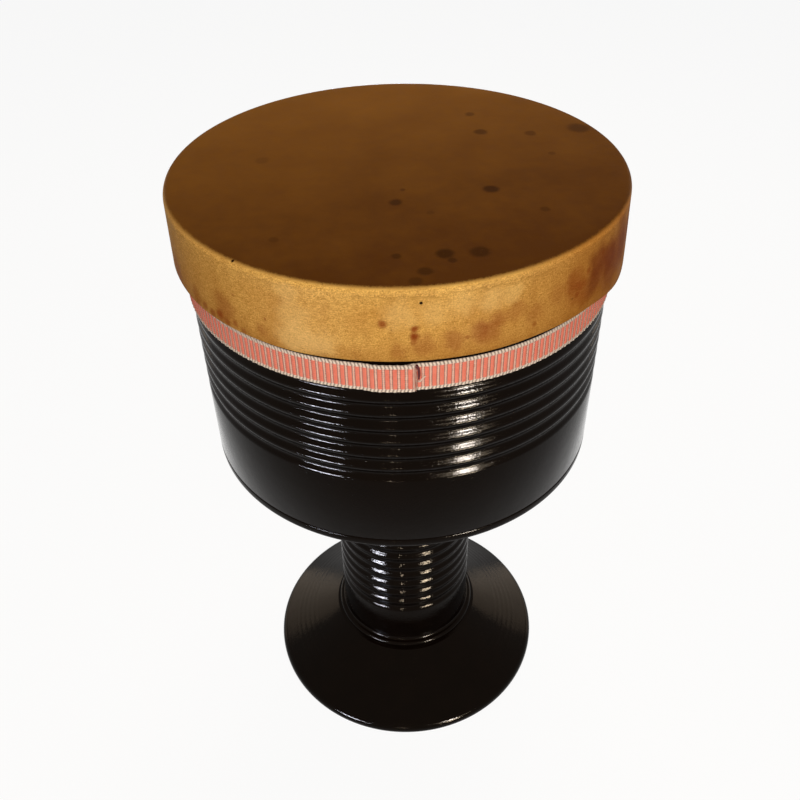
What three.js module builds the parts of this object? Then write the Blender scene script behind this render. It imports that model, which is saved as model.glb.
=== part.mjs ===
// A tombak, or goblet drum: a hide head on a wooden hoop, over a turned shell of bowl, neck and foot.
// Millimetres, +Z up. The drum's axis is Z, it stands on its foot at z = 0, and -Y is its front.
import * as THREE from 'three';

// Facets round the axis, and steps along the curves of a profile
const SIDES = 40;
const CURVE_STEPS = 7;
const EDGE_STEPS = 3;

// Glue line that parts two pieces that touch
const GLUE_GAP = 0.3;

// Foot: a dish with a round rim, standing on a flat ring, with a bell-shaped mouth below
const FOOT_RADIUS = 114.7;
const FOOT_HEIGHT = 42;
const FOOT_TOP_STEP = 6.6;
const FOOT_RIM_RADIUS = 6;
const FOOT_RIM_TURN = 70;
const FOOT_HEEL_RADIUS = 3;
const FOOT_HEEL_BAND = 1;
const FOOT_STAND_WIDTH = 12;
const FOOT_COVE_WIDTH = 22;
const FOOT_COVE_DROP = 16.5;
const FOOT_MOUTH_DEPTH = 14;
const FOOT_MOUTH_SWELL = 42;
const FOOT_SOCKET_DEPTH = 18;

// Moulding round the joint of neck and foot: a round bead under a short cone
const RING_HEIGHT = 9.5;
const RING_BEAD_RADIUS = 2.6;
const RING_STEP = 5;

// Neck: a tube with turned ridges over a plain lower length, and a spigot at each end
const NECK_RADIUS = 54.4;
const NECK_WALL = 16.4;
const NECK_LENGTH = 160.5;
const NECK_PLAIN_LENGTH = 33.4;
const NECK_PLAIN_TOP = 5;
const NECK_RIDGE_PITCH = 11.1;
const SPIGOT_WALL = 8;

// Shoulder: the floor of the bowl, with a socket for the neck and a spigot for the wall
const SHOULDER_HEIGHT = 54;
const SHOULDER_EDGE_HEIGHT = 8;
const SHOULDER_EDGE_RADIUS = 4;
const SHOULDER_COLLAR_STEP = 1.2;
const SHOULDER_COVE_HEIGHT = 20;
const SHOULDER_COVE_WIDTH = 40;
const SHOULDER_SOCKET_DEPTH = 20;
const SHOULDER_LIP = 6;
const SHOULDER_SPIGOT_HEIGHT = 12;
const SHOULDER_SPIGOT_WALL = 8;

// Bowl: a wall with ridges over a plain lower band, a land for the ribbon and a spigot for the hoop
const BOWL_RADIUS = 134.8;
const BOWL_WALL = 13.8;
const BOWL_HEIGHT = 143.5;
const BOWL_PLAIN_HEIGHT = 51;
const BOWL_RIDGE_PITCH = 10.4;
const BOWL_RIM_WALL = 8.5;
const BOWL_RIM_HEIGHT = 30;

// Ridges turned on bowl and neck
const RIDGE_DEPTH = 1.8;
const RIDGE_STEPS = 4;

// Ribbon: a strip laid once round the land, with its outer end lapped over the inner one at the front
const RIBBON_HEIGHT = 17.6;
const RIBBON_THICKNESS = 1.2;
const RIBBON_DROP = 3.2;
const RIBBON_HEM = 2.4;
const RIBBON_LAND_STEP = 0.6;
const RIBBON_LAP_LENGTH = 20;
const RIBBON_SEAM_DEGREES = 3.1;

// Head: the hoop, a little clear of the bowl's land, wider at its lower edge and with a round bearing edge,
// and the skin drawn over it
const HOOP_CLEARANCE = 1.7;
const HOOP_HEIGHT = 41.8;
const HOOP_WALL = 9.1;
const HOOP_FLARE = 1;
const BEARING_RADIUS = 2;
const BEARING_FLAT = 1.5;
const BEARING_BEVEL = 3;
const SKIN_THICKNESS = 1.2;

// Finishes
const LACQUER = { color: '#14110e', roughness: 0.22, metalness: 0 };
const BARE_WOOD = { color: '#9c7446', roughness: 0.7, metalness: 0 };
const HIDE = { color: '#a4793b', roughness: 0.6, metalness: 0 };
const WOVEN_TRIM = { color: '#e58a6f', roughness: 0.9, metalness: 0 };

// Radii that follow from the sizes above
const throatRadius = NECK_RADIUS - NECK_WALL;
const spigotRadius = throatRadius + SPIGOT_WALL;
const socketRadius = spigotRadius + GLUE_GAP;
const bowlBoreRadius = BOWL_RADIUS - BOWL_WALL;
const bowlRimRadius = bowlBoreRadius + BOWL_RIM_WALL;
const landRadius = BOWL_RADIUS + RIBBON_LAND_STEP;
const hoopBoreRadius = bowlRimRadius + GLUE_GAP;
const hoopRadius = hoopBoreRadius + HOOP_WALL;

// Heights at which the pieces stand, each on the one below
const ringZ = FOOT_HEIGHT + GLUE_GAP;
const neckZ = ringZ + RING_HEIGHT + GLUE_GAP;
const shoulderZ = neckZ + NECK_LENGTH + GLUE_GAP;
const bowlZ = shoulderZ + SHOULDER_HEIGHT + GLUE_GAP;
const hoopZ = bowlZ + BOWL_HEIGHT + HOOP_CLEARANCE;

// Lower edges of the ribbon and of the land under it, above the bowl's lower face
const ribbonBottom = BOWL_HEIGHT - RIBBON_DROP - RIBBON_HEIGHT;
const landBottom = ribbonBottom + RIBBON_HEM;

// A point of a turned profile
function at(radius, z) {
  return new THREE.Vector2(radius, z);
}

// Round edge of a profile about a centre, between two angles in degrees above the outward direction
function roundEdge(centre, edgeRadius, fromDegrees, toDegrees) {
  const from = THREE.MathUtils.degToRad(fromDegrees);
  const to = THREE.MathUtils.degToRad(toDegrees);
  const arc = new THREE.EllipseCurve(centre.x, centre.y, edgeRadius, edgeRadius, from, to, to < from);
  return arc.getPoints(EDGE_STEPS);
}

// Smooth stretch of a profile, drawn towards a point that its ends aim at
function cove(start, aim, end) {
  return new THREE.QuadraticBezierCurve(start, aim, end).getPoints(CURVE_STEPS);
}

// As many whole ridges as fit between two heights of a cylinder, their crests level with it
function ridges(low, high, pitch, crestRadius) {
  const count = Math.floor((high - low) / pitch);
  const points = [];
  for (let step = 0; step <= count * RIDGE_STEPS; step += 1) {
    const turn = step / RIDGE_STEPS;
    const dip = RIDGE_DEPTH * (1 - Math.cos(2 * Math.PI * turn)) / 2;
    points.push(at(crestRadius - dip, low + turn * pitch));
  }
  return points;
}

function piece(name, geometry, finish, z) {
  const mesh = new THREE.Mesh(geometry, new THREE.MeshStandardMaterial(finish));
  mesh.name = name;
  mesh.position.z = z;
  return mesh;
}

// A piece turned about the drum's axis from a profile listed up its outside and down its inside
function turned(name, profile, finish, z) {
  const geometry = new THREE.LatheGeometry(profile, SIDES);
  geometry.rotateX(Math.PI / 2);
  return piece(name, geometry, finish, z);
}

// A turned ring, whose profile closes on itself
function turnedRing(name, profile, finish, z) {
  return turned(name, [...profile, profile[0]], finish, z);
}

function footDish() {
  const topRadius = NECK_RADIUS + FOOT_TOP_STEP;
  const heelCentre = at(FOOT_RADIUS - FOOT_HEEL_RADIUS, FOOT_HEEL_RADIUS);
  const rimCentre = at(FOOT_RADIUS - FOOT_RIM_RADIUS, FOOT_HEEL_RADIUS + FOOT_HEEL_BAND);
  const rim = roundEdge(rimCentre, FOOT_RIM_RADIUS, 0, FOOT_RIM_TURN);
  const mouthRadius = heelCentre.x - FOOT_STAND_WIDTH;
  const mouth = cove(
    at(throatRadius, FOOT_MOUTH_DEPTH),
    at(throatRadius + FOOT_MOUTH_SWELL, FOOT_MOUTH_DEPTH),
    at(mouthRadius, 0),
  );
  const dish = cove(
    rim.pop(),
    at(topRadius + FOOT_COVE_WIDTH, FOOT_HEIGHT - FOOT_COVE_DROP),
    at(topRadius, FOOT_HEIGHT),
  );
  const profile = [
    ...roundEdge(heelCentre, FOOT_HEEL_RADIUS, -90, 0),
    ...rim,
    ...dish,
    at(socketRadius, FOOT_HEIGHT),
    at(socketRadius, FOOT_HEIGHT - FOOT_SOCKET_DEPTH),
    at(throatRadius, FOOT_HEIGHT - FOOT_SOCKET_DEPTH),
    ...mouth,
  ];
  return turnedRing('foot_dish', profile, LACQUER, 0);
}

function neckRing() {
  const beadCentre = at(NECK_RADIUS + RING_STEP - RING_BEAD_RADIUS, RING_BEAD_RADIUS);
  const profile = [
    at(socketRadius, 0),
    ...roundEdge(beadCentre, RING_BEAD_RADIUS, -90, 90),
    at(NECK_RADIUS, RING_HEIGHT),
    at(socketRadius, RING_HEIGHT),
  ];
  return turnedRing('neck_ring', profile, LACQUER, ringZ);
}

// The lower spigot passes through the moulding into the foot, and the upper one goes into the shoulder
function neckTube() {
  const lowerEnd = -(GLUE_GAP + RING_HEIGHT + FOOT_SOCKET_DEPTH);
  const upperEnd = NECK_LENGTH + SHOULDER_SOCKET_DEPTH;
  const profile = [
    at(throatRadius, lowerEnd),
    at(spigotRadius, lowerEnd),
    at(spigotRadius, 0),
    at(NECK_RADIUS, 0),
    ...ridges(NECK_PLAIN_LENGTH, NECK_LENGTH - NECK_PLAIN_TOP, NECK_RIDGE_PITCH, NECK_RADIUS),
    at(NECK_RADIUS, NECK_LENGTH),
    at(spigotRadius, NECK_LENGTH),
    at(spigotRadius, upperEnd),
    at(throatRadius, upperEnd),
  ];
  return turnedRing('neck_tube', profile, LACQUER, neckZ);
}

function bowlShoulder() {
  const collarRadius = NECK_RADIUS + SHOULDER_COLLAR_STEP;
  const edgeBottom = SHOULDER_HEIGHT - SHOULDER_EDGE_HEIGHT;
  const edgeCentre = at(BOWL_RADIUS - SHOULDER_EDGE_RADIUS, edgeBottom + SHOULDER_EDGE_RADIUS);
  const plugRadius = bowlBoreRadius - GLUE_GAP;
  const plugTop = SHOULDER_HEIGHT + SHOULDER_SPIGOT_HEIGHT;
  const floorRadius = plugRadius - SHOULDER_SPIGOT_WALL;
  const underside = new THREE.CubicBezierCurve(
    at(collarRadius, 0),
    at(collarRadius, SHOULDER_COVE_HEIGHT),
    at(edgeCentre.x - SHOULDER_COVE_WIDTH, edgeBottom),
    at(edgeCentre.x, edgeBottom),
  ).getPoints(CURVE_STEPS);
  underside.pop();
  const profile = [
    at(socketRadius, 0),
    ...underside,
    ...roundEdge(edgeCentre, SHOULDER_EDGE_RADIUS, -90, 0),
    at(BOWL_RADIUS, SHOULDER_HEIGHT),
    at(plugRadius, SHOULDER_HEIGHT),
    at(plugRadius, plugTop),
    at(floorRadius, plugTop),
    at(floorRadius, SHOULDER_HEIGHT),
    at(throatRadius, SHOULDER_SOCKET_DEPTH + SHOULDER_LIP),
    at(throatRadius, SHOULDER_SOCKET_DEPTH),
    at(socketRadius, SHOULDER_SOCKET_DEPTH),
  ];
  return turnedRing('bowl_shoulder', profile, LACQUER, shoulderZ);
}

function bowlWall() {
  const rimTop = BOWL_HEIGHT + BOWL_RIM_HEIGHT;
  const profile = [
    at(bowlBoreRadius, 0),
    at(BOWL_RADIUS, 0),
    ...ridges(BOWL_PLAIN_HEIGHT, landBottom, BOWL_RIDGE_PITCH, BOWL_RADIUS),
    at(BOWL_RADIUS, landBottom),
    at(landRadius, landBottom),
    at(landRadius, BOWL_HEIGHT),
    at(bowlRimRadius, BOWL_HEIGHT),
    at(bowlRimRadius, rimTop),
    at(bowlBoreRadius, rimTop),
  ];
  return turnedRing('bowl_wall', profile, LACQUER, bowlZ);
}

// The strip starts against the land, goes once round and rises over its own start for the lap
function trimRibbon() {
  const stepsRound = 2 * SIDES;
  const stepAngle = 2 * Math.PI / stepsRound;
  const innerRadius = landRadius + GLUE_GAP;
  const lapRise = RIBBON_THICKNESS + GLUE_GAP;
  const lapSteps = Math.max(1, Math.round(RIBBON_LAP_LENGTH / (innerRadius * stepAngle)));
  const startAngle = THREE.MathUtils.degToRad(RIBBON_SEAM_DEGREES) - lapSteps * stepAngle;
  const inside = [];
  const outside = [];
  for (let step = 0; step <= stepsRound + lapSteps; step += 1) {
    const angle = startAngle + step * stepAngle;
    const outward = at(Math.sin(angle), -Math.cos(angle));
    const radius = innerRadius + (step < stepsRound ? 0 : lapRise);
    inside.push(outward.clone().multiplyScalar(radius));
    outside.push(outward.clone().multiplyScalar(radius + RIBBON_THICKNESS));
  }
  const strip = new THREE.Shape([...outside, ...inside.reverse()]);
  const geometry = new THREE.ExtrudeGeometry(strip, { depth: RIBBON_HEIGHT, bevelEnabled: false });
  return piece('trim_ribbon', geometry, WOVEN_TRIM, bowlZ + ribbonBottom);
}

function headHoop() {
  const bearingCentre = at(hoopRadius - BEARING_RADIUS, HOOP_HEIGHT - BEARING_RADIUS);
  const bevelRadius = bearingCentre.x - BEARING_FLAT;
  const profile = [
    at(hoopBoreRadius, 0),
    at(hoopRadius + HOOP_FLARE, 0),
    ...roundEdge(bearingCentre, BEARING_RADIUS, 0, 90),
    at(bevelRadius, HOOP_HEIGHT),
    at(hoopBoreRadius, HOOP_HEIGHT - BEARING_BEVEL),
  ];
  return turnedRing('head_hoop', profile, BARE_WOOD, hoopZ);
}

// The skin follows the hoop at one glue line from it, from the middle of the head to the skirt's edge
function drumSkin() {
  const bendCentre = at(hoopRadius - BEARING_RADIUS, HOOP_HEIGHT - BEARING_RADIUS);
  const innerBend = BEARING_RADIUS + GLUE_GAP;
  const outerBend = innerBend + SKIN_THICKNESS;
  const skirtInside = hoopRadius + HOOP_FLARE + GLUE_GAP;
  const profile = [
    at(0, bendCentre.y + innerBend),
    ...roundEdge(bendCentre, innerBend, 90, 0),
    at(skirtInside, 0),
    at(skirtInside + SKIN_THICKNESS, 0),
    ...roundEdge(bendCentre, outerBend, 0, 90),
    at(0, bendCentre.y + outerBend),
  ];
  return turned('drum_skin', profile, HIDE, hoopZ);
}

const tombak = new THREE.Group();
tombak.add(
  footDish(),
  neckRing(),
  neckTube(),
  bowlShoulder(),
  bowlWall(),
  trimRibbon(),
  headHoop(),
  drumSkin(),
);

export default tombak;
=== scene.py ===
# A tombak, or goblet drum: a goat hide on a wooden hoop, over a shell of turned and lacquered wood.
# Lengths are in millimetres, angles in degrees, and azimuths run from the front (-Y) to the right (+X).
import math
import random

import bpy
from mathutils import Matrix, Vector

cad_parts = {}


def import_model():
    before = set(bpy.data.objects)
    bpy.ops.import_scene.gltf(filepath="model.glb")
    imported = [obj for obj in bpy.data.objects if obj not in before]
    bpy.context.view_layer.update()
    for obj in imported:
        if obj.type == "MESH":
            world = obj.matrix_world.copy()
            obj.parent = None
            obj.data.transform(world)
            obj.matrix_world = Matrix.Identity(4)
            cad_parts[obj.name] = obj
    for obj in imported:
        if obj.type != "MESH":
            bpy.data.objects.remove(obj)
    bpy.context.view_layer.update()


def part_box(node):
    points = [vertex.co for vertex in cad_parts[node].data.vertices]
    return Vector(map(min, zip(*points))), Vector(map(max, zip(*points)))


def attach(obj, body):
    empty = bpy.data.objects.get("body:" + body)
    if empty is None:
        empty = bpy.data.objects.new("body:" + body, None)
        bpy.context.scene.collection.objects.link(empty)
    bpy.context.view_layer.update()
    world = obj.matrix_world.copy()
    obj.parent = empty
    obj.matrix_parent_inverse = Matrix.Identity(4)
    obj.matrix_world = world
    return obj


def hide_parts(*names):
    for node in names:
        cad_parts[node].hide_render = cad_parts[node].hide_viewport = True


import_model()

MM = 0.001


def solid_span(node):
    """Outer radius, lower end and upper end of a turned solid of the frame."""
    low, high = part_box(node)
    return high[0] / MM, low[2] / MM, high[2] / MM


# Sizes that the frame gives
FOOT_RADIUS, FLOOR_LEVEL, FOOT_TOP = solid_span("foot_dish")
RING_RADIUS, RING_BOTTOM, RING_TOP = solid_span("neck_ring")
NECK_RADIUS, NECK_LOW_END, NECK_HIGH_END = solid_span("neck_tube")
BOWL_RADIUS, SHOULDER_BOTTOM, PLUG_TOP = solid_span("bowl_shoulder")
LAND_RADIUS, BOWL_BOTTOM, BOWL_RIM_TOP = solid_span("bowl_wall")
RIBBON_RADIUS, RIBBON_BOTTOM, RIBBON_TOP = solid_span("trim_ribbon")
HOOP_RADIUS, HOOP_BOTTOM, HOOP_TOP = solid_span("head_hoop")
SKIRT_RADIUS, SKIRT_BOTTOM, SKIN_TOP = solid_span("drum_skin")

# Steps round the axis and along the curves of a turned profile
STEPS_AROUND = 192
CURVE_STEPS = 24
DISH_STEPS = 96
EDGE_STEPS = 8
SHARP_EDGE_STEPS = 3
RIDGE_STEPS = 12
SMOOTH_ANGLE = 40
WELD = 0.002
GLUE_GAP = 0.3

# Bores and joints inside the shell
THROAT_RADIUS = 38
SPIGOT_RADIUS = 46
SOCKET_RADIUS = SPIGOT_RADIUS + GLUE_GAP
BOWL_BORE_RADIUS = 121
PLUG_WALL = 8
BOWL_RIM_RADIUS = 129.5
SHARP_EDGE_RADIUS = 0.8

# Foot: a dish with a round rim, on which the turner's tool left a few rings
FOOT_HEEL_RADIUS = 3
FOOT_HEEL_BAND = 1
FOOT_RIM_RADIUS = 6
FOOT_RIM_TURN = 70
FOOT_TOP_RADIUS = NECK_RADIUS + 6.6
FOOT_COVE_WIDTH = 22
FOOT_COVE_DROP = 16.5
FOOT_STAND_WIDTH = 12
FOOT_MOUTH_DEPTH = 14
FOOT_MOUTH_SWELL = 42
TOOL_RING_PITCH = 4.4
TOOL_RING_DEPTH = 0.03
TOOL_RINGS_FROM = 80
TOOL_RINGS_TO = 101

# Moulding at the neck's lower end
BEAD_RADIUS = 2.6

# Neck and bowl: turned ridges over a plain length
RIDGE_DEPTH = 1.8
NECK_RIDGE_PITCH = 11.1
NECK_RIDGES = 11
NECK_PLAIN_LENGTH = 33.4
BOWL_RIDGE_PITCH = 10.4
BOWL_RIDGES = 7
BOWL_PLAIN_HEIGHT = 51
RIBBON_HEM = 2.4

# Shoulder: the underside of the bowl
SHOULDER_EDGE_HEIGHT = 8
SHOULDER_EDGE_RADIUS = 4
COLLAR_RADIUS = NECK_RADIUS + 1.2
COLLAR_COVE_HEIGHT = 20
SHOULDER_COVE_WIDTH = 40
SOCKET_DEPTH = 20
THROAT_LIP = 6

# Hoop and skin
HOOP_BORE_RADIUS = BOWL_RIM_RADIUS + GLUE_GAP
HOOP_CLEARANCE = 1.7
HOOP_FLARE = 1
BEARING_RADIUS = 2
BEARING_FLAT = 1.5
BEARING_BEVEL = 3
SKIN_THICKNESS = 1.2
SKIN_BEND = BEARING_RADIUS + GLUE_GAP + SKIN_THICKNESS
SKIRT_EDGE_STEPS = 6
SKIRT_ROWS = 9
HEAD_ROWS = 12
HIDE_STEPS_AROUND = 240

# Ribbon: one repeat is a coral rib and a beige rib, and the outer end laps over the inner one
RIBBON_REPEATS = 214
RIBBON_LAP = 20
RIBBON_CLOTH = 0.8
RIBBON_SEAM_AZIMUTH = 3.1
RIBBON_LAP_RISE = 1.4
SELVEDGE_WIDTH = 2.2
RIBBON_PATH_STEPS = 720
RIB_COLUMNS = 8

# Threads at the ribbon's seam: two loose ones, thinner from root to tip, and the short ends of the cut warp
TAIL_RADIUS = 0.7
HOOK_RADIUS = 0.5
THREAD_ROOT_SHARE = 1.5
THREAD_TIP_SHARE = 0.6
THREAD_LIFT = 0.4
CUT_ENDS = 22
CUT_END_LENGTH = 1.5
CUT_END_RADIUS = 0.16
CUT_END_SIDES = 6
CUT_END_SLANT = 0.5
CUT_END_ROOT = 0.2
CUT_END_SAG = 0.4
CUT_END_MARGIN = 0.6

# Patterns in the finishes, with a size along each axis where they are drawn out
FIBRE_SIZE = (3.2, 3.2, 0.55)
FOLD_SIZE = (9, 9, 70)
CLOUD_SIZE = 38
PATCH_SIZE = 8
HIDE_GRAIN = 0.75
PORE_SPACING = 3.4
FLECK_SPACING = 1.6
SMALL_MARK = 5
PEEL_SIZE = 1
COAT_WAVE = 14
COAT_DEPTH = 0.13
DUST_SPACING = 1.5
WOOD_GRAIN = (4, 4, 60)
WEFTS_ACROSS = 13
FUZZ_SIZE = 0.9
SHADE_SIZE = 6
TWIST_SIZE = 0.6

# Studio: the floor, how much of it is white to the eye, and the light that fills the shadows
FLOOR_SIZE = 12000
FLOOR_WHITE = 0.92
FILL_LIGHT = 0.07

# Camera: in front of the drum and above it, looking down
CAMERA_PLACE = (0, -498.3, 683.4)
CAMERA_SENSOR = 36
CAMERA_LENS = 39.12
CAMERA_PITCH = 39.7
CAMERA_YAW = 0.14
CAMERA_ROLL = -1.29


def colour(hex_code):
    """The linear colour of an sRGB hex code, for a shader's socket."""
    channels = [int(hex_code[i:i + 2], 16) / 255 for i in (1, 3, 5)]
    linear = [c / 12.92 if c <= 0.04045 else ((c + 0.055) / 1.055) ** 2.4 for c in channels]
    return (*linear, 1)


def node(tree, kind, inputs=None, **settings):
    """Adds a shader node with its settings, and links or sets its inputs."""
    made = tree.nodes.new("ShaderNode" + kind)
    for name, value in settings.items():
        setattr(made, name, value)
    for socket, value in (inputs or {}).items():
        if isinstance(value, bpy.types.NodeSocket):
            tree.links.new(value, made.inputs[socket])
        else:
            made.inputs[socket].default_value = value
    return made


def new_material(name):
    """An empty node material, with its tree and its shader."""
    material = bpy.data.materials.new(name)
    material.use_nodes = True
    tree = material.node_tree
    return material, tree, tree.nodes["Principled BSDF"]


def scales(size):
    """The scales that give a pattern its size along each axis."""
    return tuple(1 / (side * MM) for side in size)


def dab(tree, under, reading, centre, edge, core, strength, hex_code):
    """Lays a round mark over a colour, from nothing at its edge to its full strength at its core."""
    away = node(tree, "VectorMath", {0: reading, 1: centre * MM}, operation="DISTANCE")
    cover = node(tree, "MapRange", {"Value": away.outputs["Value"], "From Min": edge * MM,
                                    "From Max": core * MM, "To Max": strength},
                 interpolation_type="SMOOTHSTEP")
    return node(tree, "Mix", {0: cover.outputs[0], 6: under, 7: colour(hex_code)},
                data_type="RGBA").outputs[2]


# Profiles

def arc(centre, radius, start, end, steps=EDGE_STEPS):
    """A round edge about a centre, between two angles above the outward direction."""
    points = []
    for step in range(steps + 1):
        angle = math.radians(start + (end - start) * step / steps)
        points.append((centre[0] + radius * math.cos(angle), centre[1] + radius * math.sin(angle)))
    return points


def curve(*handles, steps=CURVE_STEPS):
    """A smooth stretch of a profile: a Bezier curve on its handles."""
    points = []
    for step in range(steps + 1):
        row = [Vector(handle) for handle in handles]
        while len(row) > 1:
            row = [a.lerp(b, step / steps) for a, b in zip(row, row[1:])]
        points.append(tuple(row[0]))
    return points


def ridges(low, count, pitch, crest_radius):
    """Turned ridges up a cylinder, their crests level with it."""
    points = []
    for step in range(count * RIDGE_STEPS + 1):
        turn = step / RIDGE_STEPS
        dip = RIDGE_DEPTH * (1 - math.cos(2 * math.pi * turn)) / 2
        points.append((crest_radius - dip, low + turn * pitch))
    return points


def turned(name, profile, steps=STEPS_AROUND):
    """A piece turned about the drum's axis: its profile is drawn point by point, closed and spun."""
    radius, height = profile[0]
    bpy.ops.object.select_all(action="DESELECT")
    bpy.ops.mesh.primitive_plane_add(size=MM, location=(radius * MM, 0, height * MM))
    piece = bpy.context.object
    piece.name = name
    bpy.ops.object.mode_set(mode="EDIT")
    bpy.ops.mesh.merge(type="CENTER")
    for point in [*profile[1:], profile[0]]:
        stride = ((point[0] - radius) * MM, 0, (point[1] - height) * MM)
        bpy.ops.mesh.extrude_region_move(TRANSFORM_OT_translate={"value": stride})
        radius, height = point
    bpy.ops.mesh.select_all(action="SELECT")
    bpy.ops.mesh.spin(steps=steps, angle=2 * math.pi, center=(0, 0, 0), axis=(0, 0, 1))
    bpy.ops.mesh.select_all(action="SELECT")
    bpy.ops.mesh.remove_doubles(threshold=WELD * MM)
    bpy.ops.mesh.normals_make_consistent(inside=False)
    bpy.ops.object.mode_set(mode="OBJECT")
    bpy.ops.object.transform_apply(location=True, rotation=True, scale=True)
    bpy.ops.object.shade_smooth_by_angle(angle=math.radians(SMOOTH_ANGLE))
    return piece


def place_piece(piece, node_name, slot, *materials):
    """Puts a piece on the frame in its node's stead, with its finish."""
    for material in materials:
        piece.data.materials.append(material)
    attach(piece, "root")
    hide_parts(node_name)


def bare_inside(piece, radius):
    """Gives the faces within a radius the piece's second finish, the bare wood of a bore."""
    for face in piece.data.polygons:
        spoke = face.center.to_2d()
        facing_axis = face.normal.to_2d().dot(spoke) < 0
        if spoke.length < radius * MM and facing_axis:
            face.material_index = 1


# Materials

def goat_hide():
    """Rawhide, scraped and dried tight: golden where it lies on wood, and painted dark over the hollow of the
    drum as shade, with a satin grain, fine fibres drawn round the hoop, dark spots and reddish stains."""
    material, tree, shader = new_material("goat rawhide")
    place = node(tree, "TexCoord").outputs["Object"]

    # Fibres, mottling, and soft folds that the hide was drawn into, whose shade is painted
    drawn = node(tree, "VectorMath", {0: place, 1: scales(FIBRE_SIZE)}, operation="MULTIPLY")
    fibres = node(tree, "TexNoise", {"Vector": drawn.outputs[0], "Scale": 1, "Detail": 2, "Distortion": 0.5})
    hung = node(tree, "VectorMath", {0: place, 1: scales(FOLD_SIZE)}, operation="MULTIPLY")
    folds = node(tree, "TexNoise", {"Vector": hung.outputs[0], "Scale": 1, "Detail": 2})
    clouds = node(tree, "TexNoise", {"Vector": place, "Scale": 1 / (CLOUD_SIZE * MM), "Detail": 3})
    patches = node(tree, "TexNoise", {"Vector": place, "Scale": 1 / (PATCH_SIZE * MM), "Detail": 4})
    grain = node(tree, "TexNoise", {"Vector": place, "Scale": 1 / (HIDE_GRAIN * MM), "Detail": 2})
    hairs = node(tree, "Mix", {0: 0.6, 2: fibres.outputs["Fac"], 3: grain.outputs["Fac"]})

    # Distance down the hide from where it starts to bend over the hoop
    up = node(tree, "SeparateXYZ", {0: place})
    flat_place = node(tree, "VectorMath", {0: place, 1: (1, 1, 0)}, operation="MULTIPLY")
    from_axis = node(tree, "VectorMath", {0: flat_place.outputs[0]}, operation="LENGTH")
    outward_and_down = node(tree, "Math", {0: from_axis.outputs["Value"], 1: up.outputs["Z"]},
                            operation="SUBTRACT")
    bend_radius = SKIRT_RADIUS - HOOP_FLARE - SKIN_BEND
    past_bend = node(tree, "Math", {0: outward_and_down.outputs[0], 1: (bend_radius - SKIN_TOP) * MM},
                     operation="SUBTRACT")

    # The head's painted shade ends on the bend, and lower down at the sides, at a line roughened by the
    # fibres
    sideways = node(tree, "Math", {0: up.outputs["X"], 1: from_axis.outputs["Value"]}, operation="DIVIDE")
    far_sides = node(tree, "Math", {0: sideways.outputs[0], 1: 8}, operation="POWER")
    side_drop = node(tree, "Math", {0: sideways.outputs[0], 1: 1.2 * MM, 2: 3.6 * MM},
                     operation="MULTIPLY_ADD")
    head_end = node(tree, "Math", {0: far_sides.outputs[0], 1: side_drop.outputs[0], 2: -0.7 * MM},
                    operation="MULTIPLY_ADD")
    rough_end = node(tree, "Math", {0: hairs.outputs[0], 1: 5 * MM, 2: head_end.outputs[0]},
                     operation="MULTIPLY_ADD")
    past_head = node(tree, "Math", {0: past_bend.outputs[0], 1: rough_end.outputs[0]}, operation="SUBTRACT")
    in_head_shade = node(tree, "MapRange", {"Value": past_head.outputs[0], "From Min": 2.2 * MM,
                                      "From Max": -2.2 * MM}, interpolation_type="SMOOTHSTEP")

    # Golden hide of the skirt, roughest where it comes over the bend
    roughness_down = node(tree, "MapRange", {"Value": past_head.outputs[0], "From Min": 0,
                                             "From Max": 14 * MM, "To Min": 1.1, "To Max": 0.7})
    from_mean = node(tree, "Math", {0: hairs.outputs[0], 1: 0.5}, operation="SUBTRACT")
    streaks = node(tree, "Math", {0: from_mean.outputs[0], 1: roughness_down.outputs[0], 2: 0.5},
                   operation="MULTIPLY_ADD")
    golden = node(tree, "ValToRGB", {"Fac": streaks.outputs[0]})
    golden.color_ramp.elements[0].position = 0.34
    golden.color_ramp.elements[0].color = colour("#BA8334")
    golden.color_ramp.elements[1].position = 0.66
    golden.color_ramp.elements[1].color = colour("#E6BA68")
    warmth = node(tree, "MapRange", {"Value": clouds.outputs["Fac"], "From Min": 0.42, "From Max": 0.7,
                                     "To Min": 0, "To Max": 0.5})
    warm_hide = node(tree, "Mix", {0: warmth.outputs[0], 6: golden.outputs[0], 7: colour("#B07427")},
                     data_type="RGBA")
    # Painted shade of the folds: darker streaks down the skirt
    fold_shade = node(tree, "MapRange", {"Value": folds.outputs["Fac"], "From Min": 0.5, "From Max": 0.72,
                                      "To Max": 0.22})
    skirt = node(tree, "Mix", {0: fold_shade.outputs[0], 6: warm_hide.outputs[2], 7: colour("#97642A")},
                 data_type="RGBA")

    # Painted highlight: paler hide just below that line, where the bend catches the light from above
    stretched = node(tree, "MapRange", {"Value": past_head.outputs[0], "From Min": 18 * MM,
                                        "From Max": 1 * MM, "To Max": 0.6}, interpolation_type="SMOOTHSTEP")
    bend_highlight = node(tree, "Math", {0: stretched.outputs[0], 1: clouds.outputs["Fac"]}, operation="MULTIPLY")
    skirt = node(tree, "Mix", {0: bend_highlight.outputs[0], 6: skirt.outputs[2], 7: colour("#E6C070")},
                 data_type="RGBA")
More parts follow.
